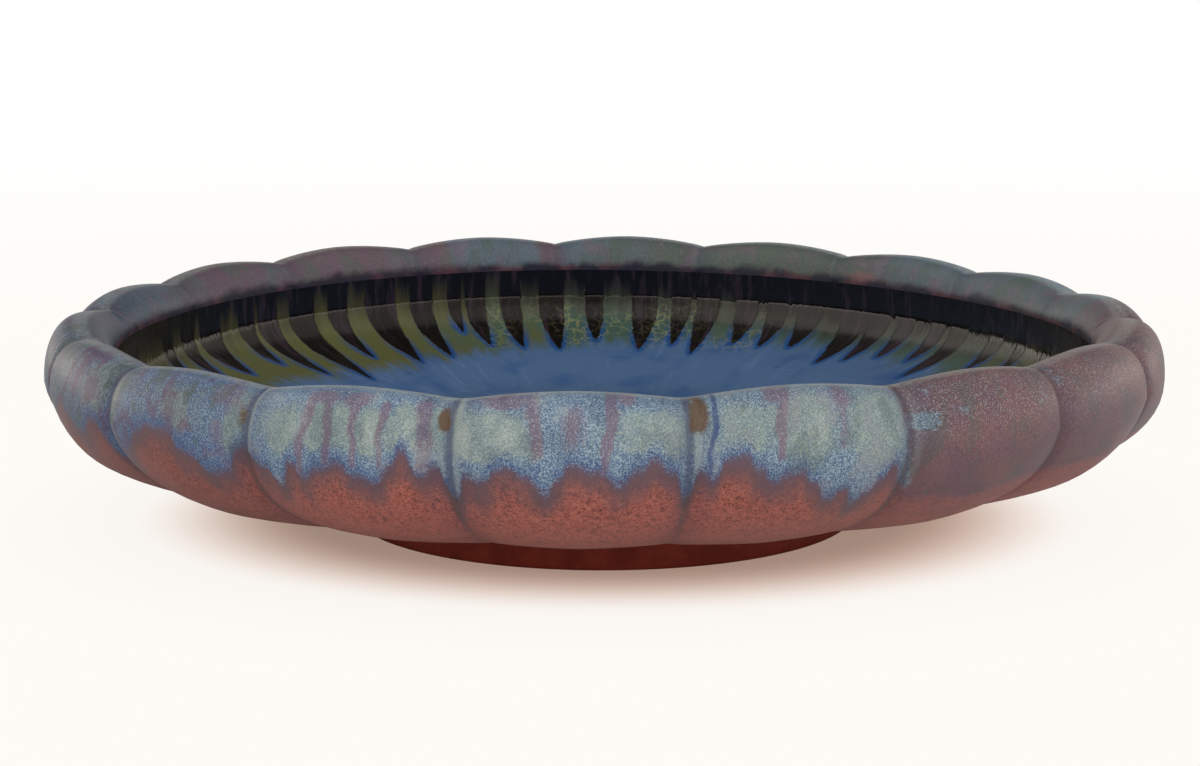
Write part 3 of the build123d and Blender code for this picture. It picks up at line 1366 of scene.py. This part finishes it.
@dataclass(frozen=True)
class Lamp:
    """A square soft lamp that faces the basin, in metres and watts."""

    name: str
    place: Triple
    size: float
    power: float
    aim_height: float = 0.04

    def hang(self) -> None:
        """Hangs the lamp."""
        data = bpy.data.lights.new(self.name, "AREA")
        data.size = self.size
        data.energy = self.power
        lamp = put(self.name, data)
        aim = Vector((0.0, 0.0, self.aim_height)) - Vector(self.place)
        lamp.location = self.place
        lamp.rotation_euler = aim.to_track_quat("-Z", "Y").to_euler()
        lamp.visible_glossy = False
        lamp.visible_camera = False


@dataclass(frozen=True)
class Studio:
    """The pale floor, the soft light and the camera at the photograph's angle."""

    azimuth: float = 3.44
    elevation: float = 11.556
    distance: float = 858.6
    aim_height: float = 21.6
    pitch: float = 10.175
    yaw: float = -0.092
    roll: float = -0.09167
    lens: float = 77.97
    sensor: float = 36.0

    # The camera's range and the floor's side, in metres
    clip: tuple[float, float] = (0.01, 50.0)
    floor_size: float = 8.0

    # How round the painted fade of the shadow is, how bright the surround is to a matte surface, and the colours of
    # both, with a painted warm tint in the shadow
    shadow_oval: Triple = (0.84, 1.0, 1.0)
    ambient: float = 0.32
    white: Tint = Tint(255, 255, 255)
    paper: Tint = Tint(242, 240, 238)
    warm_shade: Tint = Tint(250, 200, 170)
    painted_shadow_glow: Tint = Tint(250, 219, 200)
    off_white: Tint = Tint(254, 251, 247)
    sheen: Tint = Tint(255, 246, 234)
    lamps: tuple[Lamp, ...] = (
        Lamp("key", (-0.05, -1.6, 1.4), 1.6, 14.0),
        Lamp("low", (0.1, -1.8, 0.35), 0.6, 4.0, 0.03),
        Lamp("fill", (1.5, -0.7, 1.0), 1.4, 9.2),
        Lamp("top", (0.0, 0.3, 1.8), 1.4, 5.0),
    )

    def camera(self) -> None:
        """Places the camera."""
        turn = Matrix.Rotation(math.radians(self.azimuth), 3, "Z")
        rise = math.radians(self.elevation)
        place = turn @ Vector((0.0, -math.cos(rise), math.sin(rise))) * self.distance * MM
        place.z += self.aim_height * MM
        drop, aside, lean = (math.radians(angle) for angle in (self.pitch, self.yaw, self.roll))
        ahead = turn @ Vector((math.sin(aside) * math.cos(drop), math.cos(aside) * math.cos(drop), -math.sin(drop)))
        level = ahead.cross(Vector((0, 0, 1))).normalized()
        upright = level.cross(ahead)
        right = level * math.cos(lean) + upright * math.sin(lean)
        up = upright * math.cos(lean) - level * math.sin(lean)
        data = bpy.data.cameras.new("camera")
        data.lens = self.lens
        data.sensor_width = self.sensor
        data.sensor_fit = "HORIZONTAL"
        data.clip_start, data.clip_end = self.clip
        camera = put("camera", data)
        camera.matrix_world = Matrix.Translation(place) @ Matrix((right, up, -ahead)).transposed().to_4x4()
        bpy.context.scene.camera = camera

    def floor(self) -> bpy.types.Object:
        """Lays the pale floor, which is white to the camera apart from the shadow under the basin, whose fade and warm
        tint are painted by distance from the axis.

        Returns:
            The floor.
        """
        shape = bmesh.new()
        bmesh.ops.create_grid(shape, x_segments=1, y_segments=1, size=self.floor_size / 2)
        mesh = bpy.data.meshes.new("floor")
        shape.to_mesh(mesh)
        shape.free()
        sheet = Sheet(bpy.data.materials.new("paper"))
        seen = sheet.node("ShaderNodeLightPath", {}, {}, "Is Camera Ray")
        place = sheet.node("ShaderNodeTexCoord", {}, {}, "Object")
        oval = sheet.node("ShaderNodeMapping", {}, {"Vector": place, "Scale": self.shadow_oval})
        far = sheet.node("ShaderNodeVectorMath", {"operation": "LENGTH"}, {0: oval}, "Value")
        # Painted shadow tint: the camera sees the shade warm
        shade = sheet.mix(self.paper, self.warm_shade, seen)
        diffuse = sheet.node("ShaderNodeBsdfDiffuse", {}, {"Color": shade})
        # Painted shadow: a warm glow near the basin, turning white with distance
        pale = sheet.coat(
            self.painted_shadow_glow,
            (self.off_white, far.step(0.085, 0.135)),
            (self.white, far.step(0.3, 1.5)),
        )
        glow = sheet.node("ShaderNodeEmission", {}, {"Color": pale, "Strength": 1.0})
        # Painted shadow: near the basin the camera sees the shaded diffuse under a warm glow, farther out only the
        # glow
        share = seen * (0.32 + far.step(0.08, 0.13) * 0.62 + far.step(0.11, 0.2) * 0.06)
        mesh.materials.append(sheet.finish(sheet.node("ShaderNodeMixShader", {}, {0: share, 1: diffuse, 2: glow})))
        return put("floor", mesh)

    def world(self) -> None:
        """Sets the white surround: what the gloss shows is bright to the front and dark overhead and behind."""
        sheet = Sheet(bpy.data.worlds.new("surround"))
        seen = sheet.node("ShaderNodeLightPath", {}, {}, "Is Camera Ray")
        gloss = sheet.node("ShaderNodeLightPath", {}, {}, "Is Glossy Ray")
        place = sheet.node("ShaderNodeTexCoord", {}, {}, "Generated")
        aside, depth, height = (sheet.node("ShaderNodeSeparateXYZ", {}, {"Vector": place}, axis) for axis in "XYZ")
        away = abs(aside)
        front = (height * 0.268 - depth + away * 1.4).step(-0.2, 0.3)
        behind = depth.step(0.1, 0.4) * height.step(0.36, 0.2)
        above = (height * 0.95 - depth * 0.3).step(0.75, 0.97)
        sides = away * 0.5 + aside.step(0.1, -0.5) * 0.5
        shine = 0.04 + front * (0.1 + sides + height.step(0.2, 0.04) * 1.4 + above * 0.3) + behind * 0.6
        strength = seen + (1.0 - seen) * (gloss * shine + (1.0 - gloss) * self.ambient)
        tint = sheet.mix(self.white, self.sheen, gloss)
        back = sheet.node("ShaderNodeBackground", {}, {"Color": tint, "Strength": strength})
        bpy.context.scene.world = sheet.finish(back)

    def build(self) -> bpy.types.Object:
        """Sets up the floor, the light and the camera.

        Returns:
            The floor.
        """
        self.camera()
        self.world()
        for lamp in self.lamps:
            lamp.hang()
        return self.floor()


def main() -> None:
    """Builds the basin and the studio round it."""
    logging.basicConfig(level=logging.INFO, format="%(name)s: %(message)s")
    bpy.context.scene.view_settings.view_transform = "Standard"
    basin = (
        (LobedWall(), RunGlaze()),
        (InnerGlass(), InkGlass()),
        (Pool(), InkGlass("pool_glass")),
        (FootRing(), FootClay()),
    )
    for part, finish in basin:
        part.dress(part.build(), finish.material())
    Studio().build()


if __name__ == "__main__":
    main()
